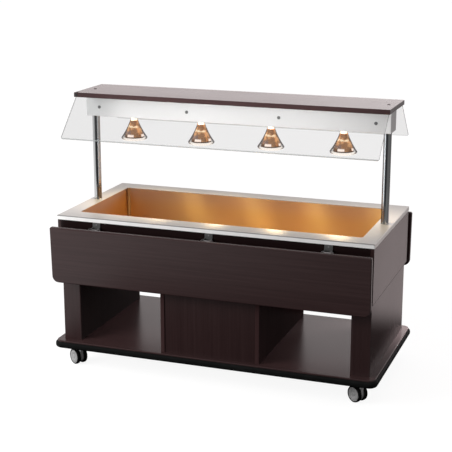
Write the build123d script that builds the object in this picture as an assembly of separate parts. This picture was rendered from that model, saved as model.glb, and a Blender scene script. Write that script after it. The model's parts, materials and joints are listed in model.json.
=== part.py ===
from build123d import *
import math
import os

# Buffet trolley, millimetres, +Z up, front towards -Y, floor at Z = 0, middle of the plan at X = Y = 0

# Well and stainless top
well_length = 1310.0
well_width = 522.0
well_drop = 190.0
well_corner = 14.0
side_rim = 72.5
front_rim = 89.0
sheet = 2.0
skirt_height = 19.0
skirt_round = 3.5
tub_flange = 10.0
panel_inset = 2.5

# Heights of the stack
castor_height = 111.0
base_thickness = 30.0
leg_height = 323.0
body_height = 264.0
lamp_headroom = 405.0
box_height = 98.0
board_thickness = 21.0

# Base and bumper
base_overhang = 23.0
base_corner = 31.0
base_edge_round = 3.0
bumper_reach = 8.5
bumper_lip = 6.0
bumper_step = 6.0
bumper_round = 12.0

# Panels, legs and cabinet
panel = 16.0
leg_width = 86.0
leg_end_inset = 7.0
leg_front_inset = 18.0
leg_wall = 12.0
leg_edge_round = 2.0
cabinet_width = 462.0
cabinet_panel = 19.0
cabinet_front_recess = 4.0
cabinet_front_gap = 0.5

# Posts and their fastenings
post_radius = 17.5
post_wall = 2.0
post_fit = 0.3
socket_depth = 85.0
socket_width = 60.0
socket_floor = 14.0
socket_wall = 4.0
post_set_in = 1.5
cap_radius = 6.5
cap_height = 1.8
cap_edge = 0.8
cap_bolt_radius = 5.0
bolt_clearance = 0.3
plug_length = 30.0

# Lamp box and top board
box_depth = 100.0
box_end_inset = 13.5
box_corner = 3.0
board_depth = 290.0
board_edge = 1.2
bracket_end_inset = 66.0
bracket_count = 4
bracket_width = 30.0
bracket_sheet = 3.0
bracket_leg = 70.0
box_bolt_height = 42.0
box_bolt_radius = 4.0
box_bolt_reach = 14.0
box_bolt_head = 7.5
box_bolt_head_height = 3.5

# Heat lamps
lamp_count = 4
lamp_end_inset = 217.5
lamp_radius = 60.0
lamp_neck = 17.0
lamp_neck_drop = 14.0
lamp_flare = 82.0
lamp_rim = 10.0
lamp_dome = 6.0
lamp_waist = 36.5
lamp_waist_drop = 58.5
lamp_base_radius = 13.0
lamp_base_length = 28.0
lamp_neck_room = 4.0
holder_radius = 20.0
holder_flange = 27.0
holder_flange_height = 4.0
holder_height = 46.0
holder_fit = 0.3

# Glass guards
glass_thickness = 6.0
glass_drop = 232.4
glass_lean = 45.0
glass_end_inset = 6.5
glass_corner = 8.0
glass_set_back = 10.2
glass_set_in = 14.0
groove_room = 0.3
clamp_width = 60.0
clamp_sheet = 3.0

# Drop leaves
leaf_height = 258.0
leaf_thickness = 22.0
leaf_end_overhang = 4.0
leaf_stand_off = 48.0
leaf_top_drop = 39.0
leaf_corner = 30.0
leaf_top_corner = 8.0
leaf_edge_round = 5.0
leaf_raised_gap = 5.0
leaf_lean = 2.2

# Folding brackets of the leaves
hinge_end_inset = 195.5
hinge_count = 3
hinge_width = 36.0
hinge_plate = 3.0
hinge_plate_drop = 70.0
hinge_lug = 4.0
hinge_eye = 8.0
fork_gap = 1.5
fork_cheek = 3.0
fork_plate_height = 70.0
fork_eye = 9.0
fork_heel_height = 16.0
fork_heel_drop = 8.0
stop_gap = 0.3
pin_radius = 4.0
pin_fit = 0.09
pin_head_radius = 6.5
pin_head = 2.5

# Castors
castor_inset_x = 56.5
castor_inset_y = 70.0
castor_turn = -122.5
wheel_radius = 37.5
wheel_width = 19.0
wheel_shoulder = 3.5
wheel_disc_radius = 32.7
wheel_groove = 1.0
wheel_dome = 1.2
castor_trail = 17.0
web_thickness = 14.0
web_radius = 27.0
wheel_side_gap = 1.0
axle_radius = 4.0
axle_fit = 0.09
axle_cover = 4.0
hood_gap = 2.5
hood_sheet = 2.5
hood_start = 28.0
hood_sweep = 118.0
hood_steps = 6
collar_radius = 15.0
collar_gap = 1.0
stem_radius = 6.0
stem_length = 22.0
stem_fit = 0.09
castor_plate_size = 70.0
castor_plate_sheet = 4.0
castor_plate_corner = 8.0

# Brake pedals on the two rear castors
pedal_ear = 3.0
pedal_ear_span = 20.0
pedal_hub_radius = 4.0
pedal_pin_radius = 2.0
pedal_fit = 0.09
pedal_hub_gap = 0.4
pedal_length = 30.0
pedal_sheet = 3.0
pedal_slope = 8.0
pedal_angle = 128.0
pedal_rise = 4.9

# Heating pads under the well
pad_thickness = 8.0
pad_margin = 14.0

# Controls on the rear of the cabinet
knob_radius = 23.0
knob_height = 18.0
knob_taper = 3.0
knob_skirt = 4.0
knob_flutes = 12
knob_flute_radius = 2.2
knob_gap = 0.8
spindle_radius = 3.0
spindle_fit = 0.09
spindle_reach = 22.0
thermostat_size = 44.0
thermostat_depth = 34.0
control_height = 220.0
knob_offset = 70.0
switch_pitch = 46.0
switch_offset = -40.0
frame_width = 24.0
frame_height = 36.0
frame_lip = 2.5
frame_border = 3.0
frame_depth = 24.0
frame_wall = 2.0
frame_fit = 0.2
rocker_gap = 0.5
rocker_tilt = 8.0
rocker_stand = 5.0
rocker_pin_radius = 1.5
rocker_pin_fit = 0.09
rocker_pin_reach = 1.5
gland_height = 45.0
gland_end_inset = 71.0
gland_hex = 12.0
gland_hex_height = 5.0
gland_dome_height = 13.0
gland_bore = 4.5
gland_tail_radius = 8.0
gland_tail_fit = 0.2

# Worked-out sizes
rim_length = well_length + 2 * side_rim
rim_width = well_width + 2 * front_rim
body_length = rim_length - 2 * panel_inset
body_width = rim_width - 2 * panel_inset
base_bottom = castor_height
base_top = base_bottom + base_thickness
base_length = body_length + 2 * base_overhang
base_width = body_width + 2 * base_overhang
body_bottom = base_top + leg_height
sheet_bottom = body_bottom + body_height
rim_top = sheet_bottom + sheet
box_bottom = rim_top + lamp_headroom
board_bottom = box_bottom + box_height
board_top = board_bottom + board_thickness
end_inner = body_length / 2 - panel
side_inner = body_width / 2 - panel
post_x = well_length / 2 + side_rim / 2 - post_set_in
box_length = rim_length - 2 * box_end_inset
bracket_pitch = (box_length - 2 * bracket_end_inset) / (bracket_count - 1)
lamp_pitch = (box_length - 2 * lamp_end_inset) / (lamp_count - 1)
hinge_pitch = (rim_length - 2 * hinge_end_inset) / (hinge_count - 1)
gland_offset = gland_end_inset - cabinet_width / 2
leaf_outer = body_width / 2 + leaf_stand_off + leaf_thickness
leaf_inner = body_width / 2 + leaf_stand_off
leaf_top = rim_top - leaf_top_drop
pivot_z = leaf_top - (leaf_outer - rim_width / 2 - leaf_raised_gap - leaf_top_drop) / 2
pivot_y = -(leaf_outer - (rim_top - pivot_z))
cabinet_rear = body_width / 2 - cabinet_front_recess
axle_z = wheel_radius
control_z = base_top + control_height

os.makedirs("parts", exist_ok=True)


def save(node, shape):
    export_step(shape, f"parts/{node}.step")


def group(solids):
    return Compound(children=list(solids))


def block(x_low, x_high, y_low, y_high, z_low, z_high):
    middle = Pos((x_low + x_high) / 2, (y_low + y_high) / 2, (z_low + z_high) / 2)
    return middle * Box(x_high - x_low, y_high - y_low, z_high - z_low)


def rod(x, y, z_low, z_high, radius):
    return Pos(x, y, (z_low + z_high) / 2) * Cylinder(radius, z_high - z_low)


def rod_x(x_low, x_high, y, z, radius):
    return Pos((x_low + x_high) / 2, y, z) * (Rot(0, 90, 0) * Cylinder(radius, x_high - x_low))


def rod_y(x, y_low, y_high, z, radius):
    return Pos(x, (y_low + y_high) / 2, z) * (Rot(90, 0, 0) * Cylinder(radius, y_high - y_low))


def slab(length, width, corner, z_low, z_high):
    return extrude(Pos(0, 0, z_low) * RectangleRounded(length, width, corner), z_high - z_low)


def profile_yz(points, x_low, x_high):
    outline = Plane.YZ * make_face(Polyline(*points, close=True))
    return Pos(x_low, 0, 0) * extrude(outline, x_high - x_low)


def turned(points, axis, plane):
    return revolve(plane * make_face(Polyline(*points, close=True)), axis)


def opposite(shape):
    return Rot(0, 0, 180) * shape


def row(count, pitch):
    return [(index - (count - 1) / 2) * pitch for index in range(count)]


# Places worked out from the sizes
lamp_places = row(lamp_count, lamp_pitch)
bracket_places = row(bracket_count, bracket_pitch)
hinge_places = row(hinge_count, hinge_pitch)
switch_places = [switch_offset - switch_pitch / 2, switch_offset + switch_pitch / 2]
box_bolt_z = box_bottom + box_bolt_height
wheel_inner = web_thickness / 2 + wheel_side_gap
wheel_outer = wheel_inner + wheel_width
hood_outer = wheel_radius + hood_gap + hood_sheet
pedal_y = (hood_outer + pedal_rise) * math.cos(math.radians(pedal_angle)) - castor_trail
pedal_z = (hood_outer + pedal_rise) * math.sin(math.radians(pedal_angle)) + axle_z
pedal_foot_y = (hood_outer - hood_sheet / 2) * math.cos(math.radians(pedal_angle)) - castor_trail
pedal_foot_z = (hood_outer - hood_sheet / 2) * math.sin(math.radians(pedal_angle)) + axle_z
castor_x = body_length / 2 - castor_inset_x
castor_y = body_width / 2 - castor_inset_y
castor_places = {
    "front_left": (-castor_x, -castor_y),
    "front_right": (castor_x, -castor_y),
    "rear_left": (-castor_x, castor_y),
    "rear_right": (castor_x, castor_y),
}


# Base plate and the rubber bumper round its edge
def base_panel():
    plate = slab(base_length, base_width, base_corner, base_bottom, base_top)
    return fillet(plate.edges().group_by(Axis.Z)[-1], base_edge_round)


def base_bumper():
    length = base_length + 2 * bumper_reach
    width = base_width + 2 * bumper_reach
    low = base_bottom - bumper_lip
    high = base_top - bumper_step
    outer = slab(length, width, base_corner + bumper_reach, low, high)
    levels = outer.edges().group_by(Axis.Z)
    outer = fillet(levels[0] + levels[-1], bumper_round)
    return outer - slab(base_length, base_width, base_corner, low, high)


# Box-column leg under the right end
def leg_right():
    outside = body_length / 2 - leg_end_inset
    inside = outside - leg_width
    front = body_width / 2 - leg_front_inset
    column = block(inside, outside, -front, front, base_top, body_bottom)
    column = fillet(column.edges().filter_by(Axis.Z), leg_edge_round)
    reach = front - leg_wall
    return column - block(inside + leg_wall, outside - leg_wall, -reach, reach, base_top, body_bottom)


# Closed cabinet in the middle of the base
def cabinet_side_right():
    outside = cabinet_width / 2
    reach = body_width / 2
    side = block(outside - cabinet_panel, outside, -reach, reach, base_top, body_bottom)
    return fillet(side.edges().filter_by(Axis.Z), leg_edge_round)


def cabinet_front():
    half = cabinet_width / 2 - cabinet_panel - cabinet_front_gap
    return block(-half, half, -cabinet_rear, panel - cabinet_rear, base_top, body_bottom)


def cabinet_rear_panel():
    plain = opposite(cabinet_front())
    inner = cabinet_rear - panel
    plain -= rod_y(knob_offset, inner, cabinet_rear, control_z, spindle_radius + bolt_clearance)
    gland_hole = gland_tail_radius + gland_tail_fit
    plain -= rod_y(gland_offset, inner, cabinet_rear, base_top + gland_height, gland_hole)
    half_width = frame_width / 2 - frame_border + frame_fit
    half_height = frame_height / 2 - frame_border + frame_fit
    for x in switch_places:
        low = control_z - half_height
        high = control_z + half_height
        plain -= block(x - half_width, x + half_width, inner, cabinet_rear, low, high)
    return plain


# Upper body round the well
def body_floor():
    return block(-end_inner, end_inner, -side_inner, side_inner, body_bottom, body_bottom + panel)


def body_end_right():
    reach = body_width / 2
    end = block(end_inner, body_length / 2, -reach, reach, body_bottom, sheet_bottom)
    return fillet(end.edges().filter_by(Axis.Z), leg_edge_round)


def body_front():
    return block(-end_inner, end_inner, -body_width / 2, -side_inner, body_bottom, sheet_bottom)


# Stainless top with a turned-down skirt, and the deep well welded under it
def top_rim():
    skirt_bottom = rim_top - skirt_height
    reach_x = rim_length / 2
    reach_y = rim_width / 2
    outer = block(-reach_x, reach_x, -reach_y, reach_y, skirt_bottom, rim_top)
    outer = fillet(outer.edges().filter_by(Axis.Z) + outer.edges().group_by(Axis.Z)[-1], skirt_round)
    hollow_x = reach_x - sheet
    hollow_y = reach_y - sheet
    outer -= block(-hollow_x, hollow_x, -hollow_y, hollow_y, skirt_bottom, sheet_bottom)
    outer -= slab(well_length, well_width, well_corner, sheet_bottom, rim_top)
    for x in (-post_x, post_x):
        outer -= rod(x, 0, sheet_bottom, rim_top, post_radius + post_fit)
    return outer


def well_tub():
    floor = rim_top - well_drop
    lip = 2 * (sheet + tub_flange)
    wall = 2 * sheet
    tub = slab(well_length + wall, well_width + wall, well_corner + sheet, floor - sheet, sheet_bottom)
    flange_corner = well_corner + sheet + tub_flange
    tub += slab(well_length + lip, well_width + lip, flange_corner, sheet_bottom - sheet, sheet_bottom)
    hollow = slab(well_length, well_width, well_corner, floor, sheet_bottom)
    return tub - fillet(hollow.edges().group_by(Axis.Z)[0], well_corner - sheet)


def heating_pads():
    top = rim_top - well_drop - sheet
    length = well_length / lamp_count - 2 * pad_margin
    reach = well_width / 2 - pad_margin
    places = row(lamp_count, well_length / lamp_count)
    pad = block(-length / 2, length / 2, -reach, reach, top - pad_thickness, top)
    return group(Pos(x, 0, 0) * pad for x in places)


# Chrome posts, the sockets that hold their feet and the bolts at their heads
def post_right():
    foot = sheet_bottom - socket_depth
    tube = rod(post_x, 0, foot, board_bottom, post_radius)
    return tube - rod(post_x, 0, foot, board_bottom, post_radius - post_wall)


def post_sockets():
    inner = post_x - post_radius - socket_wall
    foot = sheet_bottom - socket_depth
    half = socket_width / 2
    socket = block(inner, end_inner, -half, half, foot - socket_floor, sheet_bottom)
    socket -= rod(post_x, 0, foot, sheet_bottom, post_radius + post_fit)
    return group([socket, opposite(socket)])


def post_bolts():
    plug_radius = post_radius - post_wall - post_fit
    plug = rod(post_x, 0, board_bottom - plug_length, board_bottom - sheet, plug_radius)
    shank = rod(post_x, 0, board_bottom - sheet, board_top, cap_bolt_radius)
    cap = rod(post_x, 0, board_top, board_top + cap_height, cap_radius)
    cap = chamfer(cap.edges().group_by(Axis.Z)[-1], cap_edge)
    bolt = plug + shank + cap
    return group([bolt, opposite(bolt)])


# Overhead lamp box, the cross brackets that tie it to the board, and its bolts
def lamp_box():
    reach_x = box_length / 2
    reach_y = box_depth / 2
    box = block(-reach_x, reach_x, -reach_y, reach_y, box_bottom, board_bottom)
    box = fillet(box.edges().filter_by(Axis.Z) + box.edges().group_by(Axis.Z)[0], box_corner)
    hollow_x = reach_x - sheet
    hollow_y = reach_y - sheet
    box -= block(-hollow_x, hollow_x, -hollow_y, hollow_y, box_bottom + sheet, board_bottom)
    for x in lamp_places:
        box -= rod(x, 0, box_bottom, box_bottom + sheet, lamp_neck + lamp_neck_room)
    for x in (-post_x, post_x):
        box -= rod(x, 0, box_bottom, box_bottom + sheet, post_radius + bolt_clearance)
    for x in bracket_places:
        box -= rod_y(x, -reach_y, reach_y, box_bolt_z, box_bolt_radius + bolt_clearance)
    return box


def box_brackets():
    reach = box_depth / 2 - sheet
    inner = reach - bracket_sheet
    half = bracket_width / 2
    low = board_bottom - bracket_leg
    bridge = block(-half, half, -reach, reach, low, board_bottom)
    bridge -= block(-half, half, -inner, inner, low, board_bottom - bracket_sheet)
    bridge -= rod_y(0, -reach, reach, box_bolt_z, box_bolt_radius + bolt_clearance)
    return group(Pos(x, 0, 0) * bridge for x in bracket_places)


def box_bolts():
    face = -box_depth / 2
    head = rod_y(0, face - box_bolt_head_height, face, box_bolt_z, box_bolt_head)
    head = chamfer(head.edges().group_by(Axis.Y)[0], box_bolt_head_height / 2)
    bolt = head + rod_y(0, face, face + box_bolt_reach, box_bolt_z, box_bolt_radius)
    return group([Pos(x, 0, 0) * side for x in bracket_places for side in (bolt, opposite(bolt))])


def top_board():
    reach_x = rim_length / 2
    reach_y = board_depth / 2
    board = block(-reach_x, reach_x, -reach_y, reach_y, board_bottom, board_top)
    board = chamfer(board.edges(), board_edge)
    for x in (-post_x, post_x):
        board -= rod(x, 0, board_bottom, board_top, cap_bolt_radius + bolt_clearance)
    groove = glass_groove()
    pockets = [Pos(x, 0, 0) * clamp_strip() for x in bracket_places]
    for cut in [groove] + pockets:
        board -= cut
        board -= opposite(cut)
    return board


# Reflector heat lamp: screw base, neck, flared bell, rolled rim and shallow lens
def lamp(x):
    neck_end = (lamp_neck, box_bottom - lamp_neck_drop)
    rim_start = (lamp_radius, box_bottom - lamp_neck_drop - lamp_flare)
    rim_end = (lamp_radius - lamp_rim / 2, rim_start[1] - lamp_rim)
    lens = (0, rim_end[1] - lamp_dome)
    top = box_bottom + lamp_base_length
    stem = [(0, top), (lamp_base_radius, top), (lamp_base_radius, box_bottom), (lamp_neck, box_bottom)]
    outline = Polyline(*stem, neck_end)
    outline += ThreePointArc(neck_end, (lamp_waist, box_bottom - lamp_waist_drop), rim_start)
    outline += Polyline(rim_start, rim_end, lens, (0, top))
    return Pos(x, 0, 0) * revolve(Plane.XZ * make_face(outline), Axis.Z)


def lampholders():
    seat = box_bottom + sheet
    holder = rod(0, 0, seat, seat + holder_height, holder_radius)
    holder += rod(0, 0, seat, seat + holder_flange_height, holder_flange)
    holder -= rod(0, 0, seat, seat + lamp_base_length, lamp_base_radius + holder_fit)
    return group(Pos(x, 0, 0) * holder for x in lamp_places)


# Leaning glass guard let into a groove under the board, and the strips that clamp it there from behind
def leaning(shape):
    edge_y = glass_set_back - board_depth / 2
    return Pos(0, edge_y, board_bottom) * (Rot(90 - glass_lean, 0, 0) * shape)


def glass_front():
    length = rim_length - 2 * glass_end_inset
    height = glass_drop + glass_set_in
    pane = extrude(RectangleRounded(length, height, glass_corner), glass_thickness / 2, both=True)
    return leaning(Pos(0, glass_set_in - height / 2, 0) * pane)


def glass_groove():
    reach = rim_length / 2 - glass_end_inset + groove_room
    half = glass_thickness / 2
    return leaning(block(-reach, reach, -glass_thickness, glass_set_in, -half, half))


def clamp_strip():
    half = clamp_width / 2
    face = -glass_thickness / 2
    return leaning(block(-half, half, face, glass_set_in, face - clamp_sheet, face))


def glass_clamps():
    half = clamp_width / 2
    clamp = clamp_strip() & block(-half, half, -board_depth / 2, 0, board_bottom, board_top)
    return group([Pos(x, 0, 0) * side for x in bracket_places for side in (clamp, opposite(clamp))])


# Drop leaf that hangs in front of the body with its foot swung in, and folds up level with the rim
def hung(shape):
    upright = Pos(0, -pivot_y, -pivot_z) * shape
    return Pos(0, pivot_y, pivot_z) * (Rot(leaf_lean, 0, 0) * upright)


def upright_point(y, z):
    lean = math.radians(leaf_lean)
    arm_y = y - pivot_y
    arm_z = z - pivot_z
    turned_y = arm_y * math.cos(lean) + arm_z * math.sin(lean)
    turned_z = arm_z * math.cos(lean) - arm_y * math.sin(lean)
    return (pivot_y + turned_y, pivot_z + turned_z)


def leaf_front():
    length = rim_length + 2 * leaf_end_overhang
    outline = Rectangle(length, leaf_height)
    outline = fillet(outline.vertices().group_by(Axis.Y)[0], leaf_corner)
    outline = fillet(outline.vertices().group_by(Axis.Y)[-1], leaf_top_corner)
    board = extrude(Plane.XZ * outline, leaf_thickness)
    rims = board.edges().group_by(Axis.Y)
    board = fillet(rims[0] + rims[-1], leaf_edge_round)
    return hung(Pos(0, -leaf_inner, leaf_top - leaf_height / 2) * board)


def hinge_brackets():
    wall = -body_width / 2
    face = wall - hinge_plate
    top = rim_top - skirt_height - stop_gap
    half = hinge_width / 2
    plate = block(-half, half, face, wall, top - hinge_plate_drop, top)
    root = hinge_eye + hinge_plate
    tongue = [(face, pivot_z + root), (pivot_y, pivot_z + hinge_eye)]
    tongue += [(pivot_y, pivot_z - hinge_eye), (face, pivot_z - root)]
    outline = make_face(Polyline(*tongue, close=True))
    outline = outline + Pos(pivot_y, pivot_z) * Circle(hinge_eye)
    outline = outline - Pos(pivot_y, pivot_z) * Circle(pin_radius + pin_fit)
    lug = extrude(Plane.YZ * outline, hinge_lug)
    bracket = plate + Pos(-half, 0, 0) * lug + Pos(half - hinge_lug, 0, 0) * lug
    return group([Pos(x, 0, 0) * side for x in hinge_places for side in (bracket, opposite(bracket))])


def leaf_forks():
    inner = hinge_width / 2 + fork_gap
    outer = inner + fork_cheek
    top = pivot_z + fork_eye
    low = top - fork_plate_height
    stop = -body_width / 2 - stop_gap
    heel_top = pivot_z - fork_heel_drop
    plate = block(-outer, outer, -leaf_inner, fork_cheek - leaf_inner, low, top)
    heel = [upright_point(stop, z) for z in (heel_top, heel_top - fork_heel_height)]
    shape = [(-leaf_inner, top), (pivot_y, top), *heel, (-leaf_inner, low)]
    outline = make_face(Polyline(*shape, close=True))
    outline = outline + Pos(pivot_y, pivot_z) * Circle(fork_eye)
    outline = outline - Pos(pivot_y, pivot_z) * Circle(pin_radius + pin_fit)
    cheek = extrude(Plane.YZ * outline, fork_cheek)
    fork = plate + Pos(-outer, 0, 0) * cheek + Pos(inner, 0, 0) * cheek
    return group(Pos(x, 0, 0) * hung(fork) for x in hinge_places)


def leaf_pins():
    reach = hinge_width / 2 + fork_gap + fork_cheek
    pin = rod_x(-reach, reach, pivot_y, pivot_z, pin_radius)
    pin += rod_x(reach, reach + pin_head, pivot_y, pivot_z, pin_head_radius)
    pin += rod_x(-reach - pin_head, -reach, pivot_y, pivot_z, pin_head_radius)
    return group(Pos(x, 0, 0) * pin for x in hinge_places)


# Twin-wheel castor, made about its swivel axis with its axle along X and its wheels trailing to -Y
def at_castor(place, shape):
    return Pos(place[0], place[1], 0) * (Rot(0, 0, castor_turn) * shape)


def castor_plates():
    low = castor_height - castor_plate_sheet
    plate = slab(castor_plate_size, castor_plate_size, castor_plate_corner, low, castor_height)
    plate += rod(0, 0, low - stem_length, low, stem_radius)
    return group(Pos(x, y, 0) * plate for x, y in castor_places.values())


def castor_housing(braked):
    top = castor_height - castor_plate_sheet - collar_gap
    stem_end = castor_height - castor_plate_sheet - stem_length - stop_gap
    low = stem_end - castor_plate_sheet
    disc = Pos(-castor_trail, axle_z) * Circle(web_radius)
    neck = Pos(0, (low + top) / 2) * Rectangle(2 * collar_radius - castor_plate_sheet, top - low)
    web = extrude(Plane.YZ * make_hull((disc + neck).edges()), web_thickness / 2, both=True)
    housing = web + rod(0, 0, low, top, collar_radius)
    housing -= rod(0, 0, stem_end, top, stem_radius + stem_fit)
    axle_end = wheel_outer - axle_cover - stop_gap
    housing += rod_x(-axle_end, axle_end, -castor_trail, axle_z, axle_radius)
    if braked:
        housing += brake_hood()
    return housing


def brake_hood():
    inner = wheel_radius + hood_gap
    arch = Circle(inner + hood_sheet) - Circle(inner)
    sector = [(0, 0)]
    for step in range(hood_steps + 1):
        turn = math.radians(hood_start + hood_sweep * step / hood_steps)
        sector.append((2 * inner * math.cos(turn), 2 * inner * math.sin(turn)))
    arch = arch & make_face(Polyline(*sector, close=True))
    hood = extrude(Plane.YZ * (Pos(-castor_trail, axle_z) * arch), wheel_outer, both=True)
    half = pedal_ear_span / 2
    ear = Pos(pedal_y, pedal_z) * Circle(pedal_hub_radius)
    foot = Pos(pedal_foot_y, pedal_foot_z) * Circle(pedal_hub_radius / 2)
    ear = make_hull((ear + foot).edges()) - Pos(pedal_y, pedal_z) * Circle(pedal_pin_radius + pedal_fit)
    ear = extrude(Plane.YZ * ear, pedal_ear)
    return hood + Pos(half, 0, 0) * ear + Pos(-half - pedal_ear, 0, 0) * ear


def castor_wheel(side):
    bore = axle_radius + axle_fit
    edge = wheel_radius - wheel_shoulder
    tread = [(wheel_inner, bore), (wheel_inner, edge), (wheel_inner + wheel_shoulder, wheel_radius)]
    tread += [(wheel_outer - wheel_shoulder, wheel_radius), (wheel_outer, edge)]
    groove = [(wheel_outer, wheel_disc_radius), (wheel_outer - wheel_groove, wheel_disc_radius)]
    groove += [(wheel_outer - wheel_groove, wheel_disc_radius - wheel_groove)]
    disc = [(wheel_outer, wheel_disc_radius - 2 * wheel_groove), (wheel_outer + wheel_dome, 0)]
    disc += [(wheel_outer - axle_cover, 0), (wheel_outer - axle_cover, bore)]
    wheel = turned(tread + groove + disc, Axis.X, Plane.XZ)
    if side == "inner":
        wheel = Rot(0, 0, 180) * wheel
    return Pos(0, -castor_trail, axle_z) * wheel


def brake_pedal():
    half = pedal_ear_span / 2 - pedal_hub_gap
    hub = rod_x(-half, half, pedal_y, pedal_z, pedal_hub_radius)
    reach = pedal_ear_span / 2 + pedal_ear
    hub += rod_x(-reach, reach, pedal_y, pedal_z, pedal_pin_radius)
    tread = Pos(0, -pedal_length / 2, 0) * Box(2 * half, pedal_length, pedal_sheet)
    tread = fillet(tread.edges().filter_by(Axis.Z).group_by(Axis.Y)[0], pedal_hub_radius)
    return hub + Pos(0, pedal_y, pedal_z) * (Rot(pedal_slope, 0, 0) * tread)


# Controls on the rear of the cabinet
def thermostat_knob():
    skirt = rod(0, 0, knob_gap, knob_gap + knob_skirt, knob_radius)
    grip_radius = knob_radius - 2 * knob_taper
    grip_low = knob_gap + knob_skirt
    grip_height = knob_height - knob_skirt
    grip = Pos(0, 0, grip_low + grip_height / 2) * Cone(grip_radius, grip_radius - knob_taper, grip_height)
    for index in range(knob_flutes):
        turn = 360 / knob_flutes * (index + 1 / 2)
        groove = rod(grip_radius, 0, grip_low, grip_low + grip_height, knob_flute_radius)
        grip -= Rot(0, 0, turn) * groove
    spindle = rod(0, 0, knob_gap - spindle_reach, knob_gap, spindle_radius)
    knob = skirt + grip + spindle
    return Pos(knob_offset, cabinet_rear, control_z) * (Rot(-90, 0, 0) * knob)


def thermostat():
    half = thermostat_size / 2
    face = cabinet_rear - panel
    low = control_z - half
    high = control_z + half
    body = block(knob_offset - half, knob_offset + half, face - thermostat_depth, face, low, high)
    bore = spindle_radius + spindle_fit
    return body - rod_y(knob_offset, cabinet_rear - spindle_reach, face, control_z, bore)


def switch_frames():
    half_width = frame_width / 2
    half_height = frame_height / 2
    bezel = block(-half_width, half_width, 0, frame_lip, -half_height, half_height)
    bezel = fillet(bezel.edges().filter_by(Axis.Y), frame_wall)
    body_x = half_width - frame_border
    body_z = half_height - frame_border
    frame = bezel + block(-body_x, body_x, -frame_depth, 0, -body_z, body_z)
    floor = frame_wall - frame_depth
    hollow_x = body_x - frame_wall
    hollow_z = body_z - frame_wall
    frame -= block(-hollow_x, hollow_x, floor, frame_lip, -hollow_z, hollow_z)
    reach = hollow_x + rocker_pin_reach + rocker_pin_fit
    frame -= rod_x(-reach, reach, 0, 0, rocker_pin_radius + rocker_pin_fit)
    return group(Pos(x, cabinet_rear, control_z) * frame for x in switch_places)


def rocker(x):
    half_width = frame_width / 2 - frame_border - frame_wall - rocker_gap
    half_height = frame_height / 2 - frame_border - frame_wall - 2 * rocker_gap
    lip = rocker_stand + frame_lip
    shape = [(lip, -half_height), (rocker_stand, 0), (lip, half_height)]
    shape += [(-rocker_stand, half_height / 2), (-rocker_stand, -half_height / 2)]
    paddle = profile_yz(shape, -half_width, half_width)
    reach = half_width + rocker_gap + rocker_pin_reach
    paddle += rod_x(-reach, reach, 0, 0, rocker_pin_radius)
    return Pos(x, cabinet_rear, control_z) * (Rot(-rocker_tilt, 0, 0) * paddle)


def cable_gland():
    collar = extrude(RegularPolygon(gland_hex, 6), gland_hex_height)
    tip = gland_bore + gland_tail_radius / 2
    dome_low = gland_hex_height
    dome_high = gland_hex_height + gland_dome_height
    dome = Pos(0, 0, (dome_low + dome_high) / 2) * Cone(gland_hex - frame_wall, tip, gland_dome_height)
    gland = collar + dome + rod(0, 0, -panel - gland_hex_height, 0, gland_tail_radius)
    gland -= rod(0, 0, -panel - gland_hex_height, dome_high, gland_bore)
    return Pos(gland_offset, cabinet_rear, base_top + gland_height) * (Rot(-90, 0, 0) * gland)


# Write every piece
save("base_panel", base_panel())
save("base_bumper", base_bumper())
save("leg_right", leg_right())
save("leg_left", opposite(leg_right()))
save("cabinet_side_right", cabinet_side_right())
save("cabinet_side_left", opposite(cabinet_side_right()))
save("cabinet_front", cabinet_front())
save("cabinet_rear", cabinet_rear_panel())
save("body_floor", body_floor())
save("body_end_right", body_end_right())
save("body_end_left", opposite(body_end_right()))
save("body_front", body_front())
save("body_rear", opposite(body_front()))
save("top_rim", top_rim())
save("well_tub", well_tub())
save("heating_pads", heating_pads())
save("post_right", post_right())
save("post_left", opposite(post_right()))
save("post_sockets", post_sockets())
save("post_bolts", post_bolts())
save("lamp_box", lamp_box())
save("box_brackets", box_brackets())
save("box_bolts", box_bolts())
save("top_board", top_board())
for number, place in enumerate(lamp_places, start=1):
    save(f"lamp_{number}", lamp(place))
save("lampholders", lampholders())
save("glass_front", glass_front())
save("glass_rear", opposite(glass_front()))
save("glass_clamps", glass_clamps())
save("leaf_front", leaf_front())
save("leaf_rear", opposite(leaf_front()))
save("hinge_brackets", hinge_brackets())
save("leaf_forks_front", leaf_forks())
save("leaf_forks_rear", opposite(leaf_forks()))
save("leaf_pins_front", leaf_pins())
save("leaf_pins_rear", opposite(leaf_pins()))
save("castor_plates", castor_plates())
for name, place in castor_places.items():
    braked = name.startswith("rear")
    save(f"castor_housing_{name}", at_castor(place, castor_housing(braked)))
    for side in ("outer", "inner"):
        save(f"wheel_{name}_{side}", at_castor(place, castor_wheel(side)))
    if braked:
        save(f"brake_pedal_{name}", at_castor(place, brake_pedal()))
save("thermostat_knob", thermostat_knob())
save("thermostat", thermostat())
save("switch_frames", switch_frames())
save("heat_switch", rocker(switch_places[0]))
save("lamp_switch", rocker(switch_places[1]))
save("cable_gland", cable_gland())
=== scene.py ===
import bpy
import bmesh
import json
import math
from mathutils import Matrix, Vector


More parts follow.
